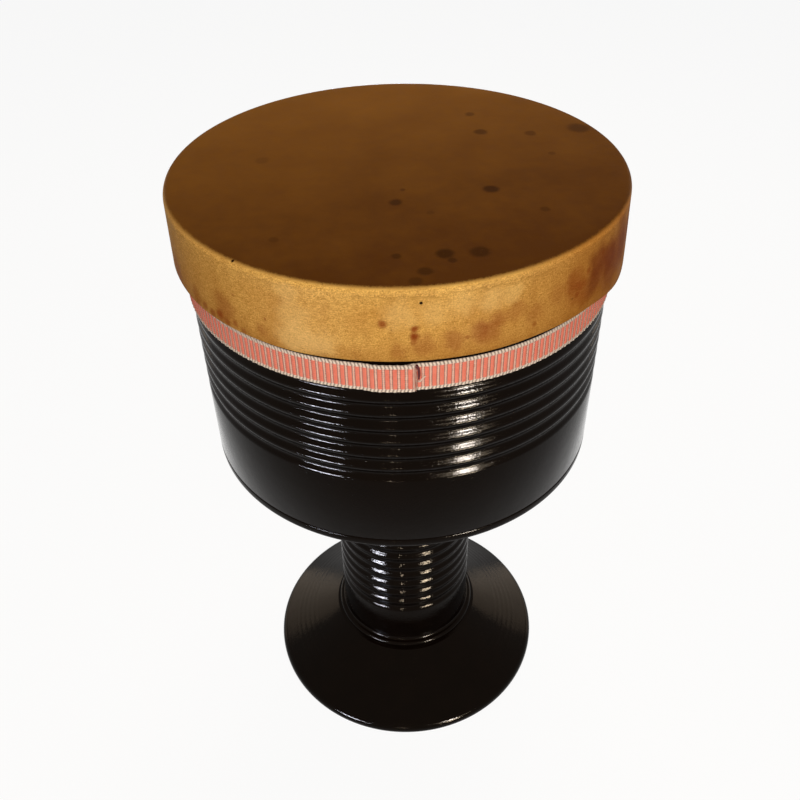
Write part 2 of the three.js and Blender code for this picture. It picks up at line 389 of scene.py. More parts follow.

    # A wrinkle that wanders along below the bend, drawn as a thin dark line of painted shade
    wander = node(tree, "Math", {0: patches.outputs["Fac"], 1: 6 * MM, 2: past_head.outputs[0]},
                  operation="MULTIPLY_ADD")
    from_wrinkle = node(tree, "Math", {0: wander.outputs[0], 1: 9.5 * MM}, operation="SUBTRACT")
    off_wrinkle = node(tree, "Math", {0: from_wrinkle.outputs[0]}, operation="ABSOLUTE")
    wrinkle = node(tree, "MapRange", {"Value": off_wrinkle.outputs[0], "From Min": 1 * MM,
                                      "From Max": 0.1 * MM, "To Max": 0.4})
    wrinkled_here = node(tree, "MapRange", {"Value": clouds.outputs["Fac"], "From Min": 0.42,
                                            "From Max": 0.55})
    wrinkle_shade = node(tree, "Math", {0: wrinkle.outputs[0], 1: wrinkled_here.outputs[0]}, operation="MULTIPLY")
    skirt = node(tree, "Mix", {0: wrinkle_shade.outputs[0], 6: skirt.outputs[2], 7: colour("#94682A")},
                 data_type="RGBA")

    # Painted shade: browner hide towards both sides, where the light falls off round the drum. Browner still
    # at the right, a stain, and darker towards the lower edge, in patches
    at_sides = node(tree, "Math", {0: sideways.outputs[0], 1: 2}, operation="POWER")
    side_shade = node(tree, "Math", {0: at_sides.outputs[0], 1: 0.4}, operation="MULTIPLY")
    skirt = node(tree, "Mix", {0: side_shade.outputs[0], 6: skirt.outputs[2], 7: colour("#965018")},
                 data_type="RGBA")
    at_right = node(tree, "MapRange", {"Value": sideways.outputs[0], "From Min": 0.4, "From Max": 0.7,
                                       "To Max": 0.6})
    skirt = node(tree, "Mix", {0: at_right.outputs[0], 6: skirt.outputs[2], 7: colour("#A25E16")},
                 data_type="RGBA")
    near_edge = node(tree, "MapRange", {"Value": up.outputs["Z"], "From Min": (SKIRT_BOTTOM + 15) * MM,
                                        "From Max": SKIRT_BOTTOM * MM, "To Max": 0.87},
                     interpolation_type="SMOOTHSTEP")
    darker_low_edge = node(tree, "Math", {0: near_edge.outputs[0], 1: patches.outputs["Fac"]}, operation="MULTIPLY")
    skirt = node(tree, "Mix", {0: darker_low_edge.outputs[0], 6: skirt.outputs[2], 7: colour("#A06622")},
                 data_type="RGBA")

    # Pale places, reddish stains and spots on the skirt: azimuth, height, radius and strength
    pale_places = [
        (-23, 421, 15, 0.6), (-17, 420, 13, 0.5), (-23, 436, 13, 0.4), (-24, 448, 9, 0.35),
        (0, 441, 12, 0.45), (7, 441, 11, 0.4), (13, 445, 11, 0.4), (19, 444, 10, 0.5), (24, 444, 9, 0.4),
    ]
    dark_stains = [
        (50, 440, 14, 0.7), (49, 428, 14, 0.75), (56, 436, 16, 0.85), (57, 423, 15, 0.6), (64, 431, 18, 0.8),
        (63, 445, 14, 0.55), (73, 438, 18, 0.72), (82, 427, 18, 0.72), (94, 436, 14, 0.4),
    ]
    skirt_stains = [
        (44, 433, 7, 0.45), (45, 421, 8, 0.4), (41, 438, 10, 0.5), (42, 429, 12, 0.5), (36, 434, 9, 0.25),
        (19, 425, 10, 0.5), (16.5, 427, 8, 0.45), (21, 431, 8, 0.45), (25, 434, 8, 0.35), (11, 423, 9, 0.45),
        (5, 422, 9, 0.4), (0, 419, 7, 0.3), (30, 428, 9, 0.3), (-42, 424, 13, 0.45), (-44, 415, 8, 0.4),
        (-54, 419, 8, 0.4), (-66, 420, 14, 0.5), (-31, 421, 5, 0.3), (-80, 432, 16, 0.4), (112, 430, 11, 0.5),
        (161, 436, 9, 0.45), (-122, 424, 10, 0.5), (-158, 440, 7, 0.4),
    ]
    skirt_spots = [
        (2.9, 428, 3.8, 0.95), (2.9, 432.5, 3.5, 0.9), (2.7, 424.5, 2.8, 0.55), (-3.6, 435.6, 3.8, 0.8),
        (-30, 428, 1.4, 0.6), (-50, 417, 4, 0.6), (-47, 415.5, 3.6, 0.65), (-44, 417.5, 4.4, 0.65),
        (-41.5, 415, 3.6, 0.65), (-39, 417, 3, 0.55), (-36.5, 414.5, 3, 0.5), (-38.5, 436, 1.8, 0.5),
        (46, 438, 3, 0.6), (42.5, 427, 2.6, 0.5), (52, 443, 2.4, 0.5), (30, 421, 2, 0.5), (14, 424, 2.2, 0.5),
    ]
    ruffle = node(tree, "VectorMath", {0: patches.outputs["Color"], 1: (10 * MM, 10 * MM, 10 * MM),
                                       2: (-5 * MM, -5 * MM, -5 * MM)}, operation="MULTIPLY_ADD")
    ruffled = node(tree, "VectorMath", {0: place, 1: ruffle.outputs[0]}, operation="ADD")
    nudged = node(tree, "VectorMath", {0: ruffle.outputs[0], 1: (0.28, 0.28, 0.28), 2: place},
                  operation="MULTIPLY_ADD")
    stained = skirt.outputs[2]
    marks = [("#E8C078", mark) for mark in pale_places]
    marks += [("#722F0B", mark) for mark in dark_stains]
    marks += [("#86390C", mark) for mark in skirt_stains + skirt_spots]
    for hex_code, (azimuth, height, radius, strength) in marks:
        centre = outward(azimuth) * SKIRT_RADIUS + Vector((0, 0, height))
        reading = (nudged if radius < SMALL_MARK else ruffled).outputs[0]
        stained = dab(tree, stained, reading, centre, radius, 0.25 * radius, strength, hex_code)

    # Fine streaks that show through the stains
    shading = node(tree, "MapRange", {"Value": streaks.outputs[0], "From Min": 0.34, "From Max": 0.66,
                                      "To Min": 0.8, "To Max": 1.19})
    streaked = node(tree, "Mix", {0: 1, 6: stained, 7: shading.outputs[0]}, data_type="RGBA",
                    blend_type="MULTIPLY")

    # Dark hide of the head as painted shade, lighter to the back and left as a painted sheen
    sheen_slope = node(tree, "VectorMath", {0: place, 1: (-1.2, 3.2, 0)}, operation="DOT_PRODUCT")
    cloudy = node(tree, "Math", {0: clouds.outputs["Fac"], 1: 0.55, 2: sheen_slope.outputs["Value"]},
                  operation="MULTIPLY_ADD")
    patchy = node(tree, "Math", {0: patches.outputs["Fac"], 1: 0.28, 2: cloudy.outputs[0]},
                  operation="MULTIPLY_ADD")
    head = node(tree, "ValToRGB", {"Fac": patchy.outputs[0]})
    head.color_ramp.elements[0].position = 0
    head.color_ramp.elements[0].color = colour("#4C2B0B")
    head.color_ramp.elements[1].position = 0.95
    head.color_ramp.elements[1].color = colour("#754B18")

    # Dark spots on the head: place across and along the head, radius and strength
    head_spots = [
        (-1, -49, 4.2, 0.8), (3, -34, 1.8, 0.5), (54, -35, 5.2, 0.9), (82, -61, 3.2, 0.5),
        (55, 47, 4.8, 0.65), (87, 43, 4.2, 0.5), (50, 77, 3.6, 0.5), (119, 50, 8, 0.6),
        (24, -107, 5.4, 0.9), (27, -114, 2.8, 0.7), (42, -106, 6, 0.8), (-1, -109, 3.2, 0.7),
        (13, -124, 4.4, 0.7), (8, -133, 4, 0.5), (-66, -89, 3, 0.35), (-83, 10, 5, 0.25),
        (18, -62, 2.4, 0.3), (96, 12, 2.6, 0.35),
    ]
    spotted = head.outputs[0]
    for across, along, radius, strength in head_spots:
        spotted = dab(tree, spotted, nudged.outputs[0], Vector((across, along, SKIN_TOP)), 1.2 * radius,
                      0.55 * radius, strength, "#321A03")

    # The head's painted shade laid over the golden skirt
    hide = node(tree, "Mix", {0: in_head_shade.outputs[0], 6: streaked.outputs[2], 7: spotted}, data_type="RGBA")

    # Pores, as small dark points
    pores = node(tree, "TexVoronoi", {"Vector": place, "Scale": 1 / (PORE_SPACING * MM), "Randomness": 1})
    pore_size = node(tree, "Math", {0: patches.outputs["Fac"], 1: 0.42, 2: -0.08}, operation="MULTIPLY_ADD")
    pore_cover = node(tree, "MapRange", {"Value": pores.outputs["Distance"],
                                         "From Min": pore_size.outputs[0], "From Max": 0, "To Max": 0.7})
    pored = node(tree, "Mix", {0: pore_cover.outputs[0], 6: hide.outputs[2], 7: colour("#5A3312")},
                 data_type="RGBA")
    flecks = node(tree, "TexVoronoi", {"Vector": place, "Scale": 1 / (FLECK_SPACING * MM), "Randomness": 1})
    fleck_size = node(tree, "Math", {0: patches.outputs["Fac"], 1: 0.6, 2: -0.16}, operation="MULTIPLY_ADD")
    fleck_cover = node(tree, "MapRange", {"Value": flecks.outputs["Distance"],
                                          "From Min": fleck_size.outputs[0], "From Max": 0, "To Max": 0.6})
    on_skirt = node(tree, "MapRange", {"Value": up.outputs["Z"], "From Min": (SKIN_TOP - 6) * MM,
                                       "From Max": (SKIRT_BOTTOM + 12) * MM, "To Min": 0.25, "To Max": 1})
    flecked = node(tree, "Math", {0: fleck_cover.outputs[0], 1: on_skirt.outputs[0]}, operation="MULTIPLY")
    pored = node(tree, "Mix", {0: flecked.outputs[0], 6: pored.outputs[2], 7: colour("#6A4018")},
                 data_type="RGBA")

    # Two tack holes near the bend, drawn as dark dots of painted shade: azimuth, distance from the axis and
    # height
    holed = pored.outputs[2]
    for azimuth, radius, height in [(4.3, 140.5, 447.5), (-37.9, 138.4, 455.3)]:
        centre = outward(azimuth) * radius + Vector((0, 0, height))
        holed = dab(tree, holed, place, centre, 1.1, 0.6, 1, "#1C0D06")

    relief = node(tree, "Math", {0: fibres.outputs["Fac"], 1: 0.7, 2: grain.outputs["Fac"]},
                  operation="MULTIPLY_ADD")
    bump = node(tree, "Bump", {"Height": relief.outputs[0], "Strength": 0.3, "Distance": 0.3 * MM})
    gloss = node(tree, "MapRange", {"Value": patches.outputs["Fac"], "To Min": 0.42, "To Max": 0.62})
    tree.links.new(holed, shader.inputs["Base Color"])
    tree.links.new(gloss.outputs[0], shader.inputs["Roughness"])
    tree.links.new(bump.outputs[0], shader.inputs["Normal"])
    shader.inputs["IOR"].default_value = 1.3
    shader.inputs["Specular IOR Level"].default_value = 0.02
    return material


def black_lacquer():
    """Gloss black lacquer brushed on turned wood: deep black with a sharp shine, which the fine
    orange peel of the dried coat, and the dust caught in it, break into sparkles. Both are drawn a little
    coarser to show."""
    material, tree, shader = new_material("black lacquer on turned wood")
    place = node(tree, "TexCoord").outputs["Object"]
    peel = node(tree, "TexNoise", {"Vector": place, "Scale": 1 / (PEEL_SIZE * MM), "Detail": 1})
    waves = node(tree, "TexNoise", {"Vector": place, "Scale": 1 / (COAT_WAVE * MM), "Detail": 2})
    dust = node(tree, "TexVoronoi", {"Vector": place, "Scale": 1 / (DUST_SPACING * MM), "Randomness": 1})
    nibs = node(tree, "MapRange", {"Value": dust.outputs["Distance"], "From Min": 0.22, "From Max": 0,
                                   "To Max": 0.3}, interpolation_type="SMOOTHSTEP")
    wavy = node(tree, "Math", {0: waves.outputs["Fac"], 1: nibs.outputs[0]}, operation="ADD")
    coat = node(tree, "Math", {0: peel.outputs["Fac"], 1: 0.55, 2: wavy.outputs[0]}, operation="MULTIPLY_ADD")
    bump = node(tree, "Bump", {"Height": coat.outputs[0], "Strength": 1, "Distance": COAT_DEPTH * MM})
    tint = node(tree, "Mix", {0: waves.outputs["Fac"], 6: colour("#080402"), 7: colour("#0E0704")},
                data_type="RGBA")
    shine = node(tree, "MapRange", {"Value": waves.outputs["Fac"], "To Min": 0.05, "To Max": 0.1})
    tree.links.new(tint.outputs[2], shader.inputs["Base Color"])
    tree.links.new(shine.outputs[0], shader.inputs["Roughness"])
    tree.links.new(bump.outputs[0], shader.inputs["Normal"])
    shader.inputs["IOR"].default_value = 1.13
    shader.inputs["Specular Tint"].default_value = colour("#F6E8D6")
    return material


def bare_wood():
    """Walnut left bare from the lathe: matt, brown, with darker grain lines along it."""
    material, tree, shader = new_material("bare turned walnut")
    place = node(tree, "TexCoord").outputs["Object"]
    along = node(tree, "VectorMath", {0: place, 1: scales(WOOD_GRAIN)}, operation="MULTIPLY")
    lines = node(tree, "TexNoise", {"Vector": along.outputs[0], "Scale": 1, "Detail": 5, "Distortion": 0.6})
    figure = node(tree, "ValToRGB", {"Fac": lines.outputs["Fac"]})
    figure.color_ramp.elements[0].position = 0.32
    figure.color_ramp.elements[0].color = colour("#5E4026")
    figure.color_ramp.elements[1].position = 0.66
    figure.color_ramp.elements[1].color = colour("#A57B4C")
    bump = node(tree, "Bump", {"Height": lines.outputs["Fac"], "Strength": 0.3, "Distance": 0.2 * MM})
    tree.links.new(figure.outputs[0], shader.inputs["Base Color"])
    tree.links.new(bump.outputs[0], shader.inputs["Normal"])
    shader.inputs["Roughness"].default_value = 0.65
    return material


def striped_grosgrain():
    """Ribbed cotton ribbon: coral and beige ribs across its width, and a beige selvedge along both edges.
    It is matt, and its fine threads make each rib a little uneven."""
    material, tree, shader = new_material("woven grosgrain ribbon")
    coords = node(tree, "TexCoord")
    across = node(tree, "SeparateXYZ", {0: coords.outputs["UV"]})
    place = coords.outputs["Object"]
    fuzz = node(tree, "TexNoise", {"Vector": place, "Scale": 1 / (FUZZ_SIZE * MM), "Detail": 3})
    shade = node(tree, "TexNoise", {"Vector": place, "Scale": 1 / (SHADE_SIZE * MM), "Detail": 2})

    from_middle = node(tree, "Math", {0: across.outputs["X"], 1: 0.5}, operation="SUBTRACT")
    off_rib = node(tree, "Math", {0: from_middle.outputs[0]}, operation="ABSOLUTE")
    along_rib = node(tree, "Math", {0: across.outputs["Y"], 1: 2 * math.pi * WEFTS_ACROSS,
                                    2: shade.outputs["Fac"]}, operation="MULTIPLY_ADD")
    weft = node(tree, "Math", {0: along_rib.outputs[0]}, operation="SINE")
    bumpy = node(tree, "Math", {0: weft.outputs[0], 1: 0.03, 2: off_rib.outputs[0]}, operation="MULTIPLY_ADD")
    wavering = node(tree, "Math", {0: fuzz.outputs["Fac"], 1: 0.14, 2: bumpy.outputs[0]},
                    operation="MULTIPLY_ADD")
    coral_rib = node(tree, "MapRange", {"Value": wavering.outputs[0], "From Min": 0.38, "From Max": 0.34})
    up_middle = node(tree, "Math", {0: across.outputs["Y"], 1: 0.5}, operation="SUBTRACT")
    off_axis = node(tree, "Math", {0: up_middle.outputs[0]}, operation="ABSOLUTE")
    inside_edge = node(tree, "MapRange", {"Value": off_axis.outputs[0], "From Min": 0.4, "From Max": 0.37})
    is_coral = node(tree, "Math", {0: coral_rib.outputs[0], 1: inside_edge.outputs[0]}, operation="MULTIPLY")

    # Coral rib, beige rib with a dark groove of painted shade on both sides, and a selvedge of short slanted
    # strands
    flecked = node(tree, "Mix", {0: 0.6, 2: shade.outputs["Fac"], 3: fuzz.outputs["Fac"]})
    coral = node(tree, "Mix", {0: flecked.outputs[0], 6: colour("#DC543C"), 7: colour("#FFA088")},
                 data_type="RGBA")
    beige = node(tree, "Mix", {0: fuzz.outputs["Fac"], 6: colour("#C88E7C"), 7: colour("#FFDECF")},
                 data_type="RGBA")
    striped = node(tree, "Mix", {0: is_coral.outputs[0], 6: beige.outputs[2], 7: coral.outputs[2]},
                   data_type="RGBA")
    groove = node(tree, "Math", {0: wavering.outputs[0], 1: 0.4, 2: 0.045}, operation="COMPARE")
    groove_shade = node(tree, "Math", {0: groove.outputs[0], 1: 0.85}, operation="MULTIPLY")
    ribbed = node(tree, "Mix", {0: groove_shade.outputs[0], 6: striped.outputs[2], 7: colour("#7C4C40")},
                  data_type="RGBA")
    lean = node(tree, "Math", {0: off_axis.outputs[0], 1: 18}, operation="MULTIPLY")
    twist = node(tree, "Math", {0: across.outputs["X"], 1: 4 * math.pi, 2: lean.outputs[0]},
                 operation="MULTIPLY_ADD")
    strands = node(tree, "Math", {0: twist.outputs[0]}, operation="SINE")
    lit_strand = node(tree, "MapRange", {"Value": strands.outputs[0], "From Min": -1, "From Max": 0.4})
    selvedge = node(tree, "Mix", {0: lit_strand.outputs[0], 6: colour("#9A887E"), 7: colour("#EEDFD3")},
                    data_type="RGBA")
    cloth = node(tree, "Mix", {0: inside_edge.outputs[0], 6: selvedge.outputs[2], 7: ribbed.outputs[2]},
                 data_type="RGBA")
    threads = node(tree, "Math", {0: weft.outputs[0], 1: 0.3, 2: fuzz.outputs["Fac"]},
                   operation="MULTIPLY_ADD")
    bump = node(tree, "Bump", {"Height": threads.outputs[0], "Strength": 0.8, "Distance": 0.3 * MM})
    tree.links.new(cloth.outputs[2], shader.inputs["Base Color"])
    tree.links.new(bump.outputs[0], shader.inputs["Normal"])
    shader.inputs["Roughness"].default_value = 0.9
    shader.inputs["Specular IOR Level"].default_value = 0.1
    return material


def cotton_thread(name, dark, light):
    """Cotton thread: matt, with a twist that shades it along its length."""
    material, tree, shader = new_material(name)
    place = node(tree, "TexCoord").outputs["Object"]
    twist = node(tree, "TexNoise", {"Vector": place, "Scale": 1 / (TWIST_SIZE * MM), "Detail": 2})
    dye = node(tree, "Mix", {0: twist.outputs["Fac"], 6: colour(dark), 7: colour(light)},
               data_type="RGBA")
    tree.links.new(dye.outputs[2], shader.inputs["Base Color"])
    shader.inputs["Roughness"].default_value = 0.9
    shader.inputs["Specular IOR Level"].default_value = 0.1
    return material


# Pieces

def outward(azimuth):
    """The direction from the axis at an azimuth."""
    angle = math.radians(azimuth)
    return Vector((math.sin(angle), -math.cos(angle), 0))


def foot():
    heel_centre = (FOOT_RADIUS - FOOT_HEEL_RADIUS, FLOOR_LEVEL + FOOT_HEEL_RADIUS)
    rim_centre = (FOOT_RADIUS - FOOT_RIM_RADIUS, FLOOR_LEVEL + FOOT_HEEL_RADIUS + FOOT_HEEL_BAND)
    rim = arc(rim_centre, FOOT_RIM_RADIUS, 0, FOOT_RIM_TURN)
    cove_aim = (FOOT_TOP_RADIUS + FOOT_COVE_WIDTH, FOOT_TOP - FOOT_COVE_DROP)
    dish = curve(rim[-1], cove_aim, (FOOT_TOP_RADIUS, FOOT_TOP), steps=DISH_STEPS)
    mouth_radius = heel_centre[0] - FOOT_STAND_WIDTH
    mouth = curve(
        (THROAT_RADIUS, FOOT_MOUTH_DEPTH),
        (THROAT_RADIUS + FOOT_MOUTH_SWELL, FOOT_MOUTH_DEPTH),
        (mouth_radius, FLOOR_LEVEL),
    )
    profile = [
        *arc(heel_centre, FOOT_HEEL_RADIUS, -90, 0),
        *rim[:-1],
        *[tool_ring(point) for point in dish],
        (SOCKET_RADIUS, FOOT_TOP),
        (SOCKET_RADIUS, NECK_LOW_END - GLUE_GAP),
        (THROAT_RADIUS, NECK_LOW_END - GLUE_GAP),
        *mouth,
    ]
    piece = turned("turned_foot", profile)
    place_piece(piece, "foot_dish", "black_lacquer", LACQUER, WOOD)
    bare_inside(piece, SOCKET_RADIUS + GLUE_GAP)


def tool_ring(point):
    """A point of the foot's dish, raised or sunk by the rings that the tool left."""
    radius, height = point
    if not TOOL_RINGS_FROM < radius < TOOL_RINGS_TO:
        return point
    turn = (radius - TOOL_RINGS_FROM) / TOOL_RING_PITCH
    return radius, height + TOOL_RING_DEPTH * math.sin(2 * math.pi * turn)


def neck_moulding():
    bead_centre = (RING_RADIUS - BEAD_RADIUS, RING_BOTTOM + BEAD_RADIUS)
    bead = arc(bead_centre, BEAD_RADIUS, -90, 90)
    cove = curve(bead[-1], (NECK_RADIUS, bead[-1][1]), (NECK_RADIUS, RING_TOP), steps=EDGE_STEPS)
    profile = [(SOCKET_RADIUS, RING_BOTTOM), *bead, *cove[1:], (SOCKET_RADIUS, RING_TOP)]
    place_piece(turned("neck_moulding", profile), "neck_ring", "black_lacquer", LACQUER)


def neck():
    bottom = RING_TOP + GLUE_GAP
    top = SHOULDER_BOTTOM - GLUE_GAP
    profile = [
        (THROAT_RADIUS, NECK_LOW_END),
        (SPIGOT_RADIUS, NECK_LOW_END),
        (SPIGOT_RADIUS, bottom),
        (NECK_RADIUS, bottom),
        *ridges(bottom + NECK_PLAIN_LENGTH, NECK_RIDGES, NECK_RIDGE_PITCH, NECK_RADIUS),
        (NECK_RADIUS, top),
        (SPIGOT_RADIUS, top),
        (SPIGOT_RADIUS, NECK_HIGH_END),
        (THROAT_RADIUS, NECK_HIGH_END),
    ]
    piece = turned("turned_neck", profile)
    place_piece(piece, "neck_tube", "black_lacquer", LACQUER, WOOD)
    bare_inside(piece, SPIGOT_RADIUS)


def shoulder():
    top = BOWL_BOTTOM - GLUE_GAP
    edge_bottom = top - SHOULDER_EDGE_HEIGHT
    edge_centre = (BOWL_RADIUS - SHOULDER_EDGE_RADIUS, edge_bottom + SHOULDER_EDGE_RADIUS)
    plug_radius = BOWL_BORE_RADIUS - GLUE_GAP
    floor_radius = plug_radius - PLUG_WALL
    socket_top = SHOULDER_BOTTOM + SOCKET_DEPTH
    upper_centre = (BOWL_RADIUS - SHARP_EDGE_RADIUS, top - SHARP_EDGE_RADIUS)
    underside = curve(
        (COLLAR_RADIUS, SHOULDER_BOTTOM),
        (COLLAR_RADIUS, SHOULDER_BOTTOM + COLLAR_COVE_HEIGHT),
        (edge_centre[0] - SHOULDER_COVE_WIDTH, edge_bottom),
        (edge_centre[0], edge_bottom),
    )
    profile = [
        (SOCKET_RADIUS, SHOULDER_BOTTOM),
        *underside[:-1],
        *arc(edge_centre, SHOULDER_EDGE_RADIUS, -90, 0),
        *arc(upper_centre, SHARP_EDGE_RADIUS, 0, 90, SHARP_EDGE_STEPS),
        (plug_radius, top),
        (plug_radius, PLUG_TOP),
        (floor_radius, PLUG_TOP),
        (floor_radius, top),
        (THROAT_RADIUS, socket_top + THROAT_LIP),
        (THROAT_RADIUS, socket_top),
        (SOCKET_RADIUS, socket_top),
    ]
    piece = turned("turned_shoulder", profile)
    place_piece(piece, "bowl_shoulder", "black_lacquer", LACQUER, WOOD)
    bare_inside(piece, plug_radius)


def bowl():
    land_bottom = RIBBON_BOTTOM + RIBBON_HEM
    land_top = HOOP_BOTTOM - HOOP_CLEARANCE
    lower_centre = (BOWL_RADIUS - SHARP_EDGE_RADIUS, BOWL_BOTTOM + SHARP_EDGE_RADIUS)
    profile = [
        (BOWL_BORE_RADIUS, BOWL_BOTTOM),
        *arc(lower_centre, SHARP_EDGE_RADIUS, -90, 0, SHARP_EDGE_STEPS),
        *ridges(BOWL_BOTTOM + BOWL_PLAIN_HEIGHT, BOWL_RIDGES, BOWL_RIDGE_PITCH, BOWL_RADIUS),
        (BOWL_RADIUS, land_bottom),
        (LAND_RADIUS, land_bottom),
        (LAND_RADIUS, land_top),
        (BOWL_RIM_RADIUS, land_top),
        (BOWL_RIM_RADIUS, BOWL_RIM_TOP),
        (BOWL_BORE_RADIUS, BOWL_RIM_TOP),
    ]
    piece = turned("turned_bowl", profile)
    place_piece(piece, "bowl_wall", "black_lacquer", LACQUER, WOOD)
    bare_inside(piece, BOWL_RIM_RADIUS)


def hoop():
    outer = HOOP_RADIUS - HOOP_FLARE
    bearing_centre = (outer - BEARING_RADIUS, HOOP_TOP - BEARING_RADIUS)
    lower_centre = (HOOP_RADIUS - SHARP_EDGE_RADIUS, HOOP_BOTTOM + SHARP_EDGE_RADIUS)
    profile = [
        (HOOP_BORE_RADIUS, HOOP_BOTTOM),
        *arc(lower_centre, SHARP_EDGE_RADIUS, -90, 0, SHARP_EDGE_STEPS),
        *arc(bearing_centre, BEARING_RADIUS, 0, 90),
        (bearing_centre[0] - BEARING_FLAT, HOOP_TOP),
        (HOOP_BORE_RADIUS, HOOP_TOP - BEARING_BEVEL),
    ]
    place_piece(turned("wooden_hoop", profile), "head_hoop", "hoop_wood", WOOD)


def skin():
    head_radius = SKIRT_RADIUS - HOOP_FLARE
    bend_centre = (head_radius - SKIN_BEND, SKIN_TOP - SKIN_BEND)
    inner_bend = SKIN_BEND - SKIN_THICKNESS
    inside_edge = SKIRT_RADIUS - SKIN_THICKNESS
    outer_bend = arc(bend_centre, SKIN_BEND, 0, 90)
    edge_radius = SKIN_THICKNESS / 2
    edge_centre = (SKIRT_RADIUS - edge_radius, SKIRT_BOTTOM + edge_radius)
    edge = arc(edge_centre, edge_radius, -180, 0, SKIRT_EDGE_STEPS)
    low, high = Vector(edge[-1]), Vector(outer_bend[0])
    skirt = [low.lerp(high, row / SKIRT_ROWS) for row in range(1, SKIRT_ROWS)]
    head = [(outer_bend[-1][0] * (1 - row / HEAD_ROWS), SKIN_TOP) for row in range(1, HEAD_ROWS + 1)]
    profile = [
        (0, SKIN_TOP - SKIN_THICKNESS),
        *arc(bend_centre, inner_bend, 90, 0),
        (inside_edge, SKIRT_BOTTOM + edge_radius),
        *edge[1:],
        *[tuple(point) for point in skirt],
        *outer_bend,
        *head,
    ]
    piece = turned("goat_skin", profile, HIDE_STEPS_AROUND)
    # Where the lower edge was tugged: azimuth, pull outwards and upwards, and reach
    for azimuth, out, up, reach in [
        (66, 0.8, -5, 50), (88, 0.8, -3, 44), (32, 0, 0.6, 34), (-24, 0, -0.4, 30), (-68, 0, 0.8, 46),
        (128, 0.8, 0.5, 32), (-144, 0.7, -0.4, 30),
    ]:
        tug(piece, azimuth, outward(azimuth) * out + Vector((0, 0, up)), reach)
    place_piece(piece, "drum_skin", "goat_hide", HIDE)


def tug(piece, azimuth, pull, reach):
    """Pulls the hide's lower edge at one place, and less and less round it, as it was stretched by hand."""
    grip = outward(azimuth) * (SKIRT_RADIUS * MM) + Vector((0, 0, SKIRT_BOTTOM * MM))
    bpy.ops.object.mode_set(mode="EDIT")
    bpy.ops.mesh.select_mode(type="VERT")
    bpy.ops.mesh.select_all(action="DESELECT")
    bpy.ops.object.mode_set(mode="OBJECT")
    for vertex in piece.data.vertices:
        vertex.select = (vertex.co - grip).length < 2 * SKIN_THICKNESS * MM
    bpy.ops.object.mode_set(mode="EDIT")
    bpy.ops.transform.translate(
        value=pull * MM,
        use_proportional_edit=True,
        proportional_edit_falloff="SMOOTH",
        proportional_size=reach * MM,
    )
    bpy.ops.object.mode_set(mode="OBJECT")


def ribbon_path():
    """The line that the ribbon follows: once round the bowl and over its own start."""
    inner = LAND_RADIUS + GLUE_GAP / 2
    lap_angle = math.degrees(RIBBON_LAP / inner)
    whole_turn = 360 + lap_angle
    # How far the hand-laid ribbon strays from its level, by the angle from its start
    strays = [
        (0, -1.75), (6.5, -1.75), (8.8, -0.75), (12, -0.8), (40, -1.2), (90, -1.5), (180, 0), (275, -1.5),
        (330, -0.8), (369, -0.9),
    ]
    data = bpy.data.curves.new("ribbon_path", "CURVE")
    data.dimensions = "3D"
    data.twist_mode = "Z_UP"
    spline = data.splines.new("POLY")
    spline.points.add(RIBBON_PATH_STEPS)
    for step, point in enumerate(spline.points):
        angle = whole_turn * step / RIBBON_PATH_STEPS
        rise = RIBBON_LAP_RISE * ease((angle - 360 + lap_angle / 2) / (lap_angle / 2))
        level = (RIBBON_BOTTOM + RIBBON_TOP) / 2 + stray_at(strays, angle)
        spot = outward(RIBBON_SEAM_AZIMUTH - lap_angle + angle) * (inner + rise)
        point.co = (spot.x * MM, spot.y * MM, level * MM, 1)
    path = bpy.data.objects.new("ribbon_path", data)
    bpy.context.collection.objects.link(path)
    return path


def ease(share):
    """A smooth step from 0 to 1."""
    share = min(max(share, 0), 1)
    return share * share * (3 - 2 * share)


def stray_at(strays, angle):
    """The stray at an angle, eased between the two listed ones beside it."""
    for (start, low), (end, high) in zip(strays, strays[1:]):
        if angle <= end:
            return low + (high - low) * ease((angle - start) / (end - start))
    return strays[-1][1]


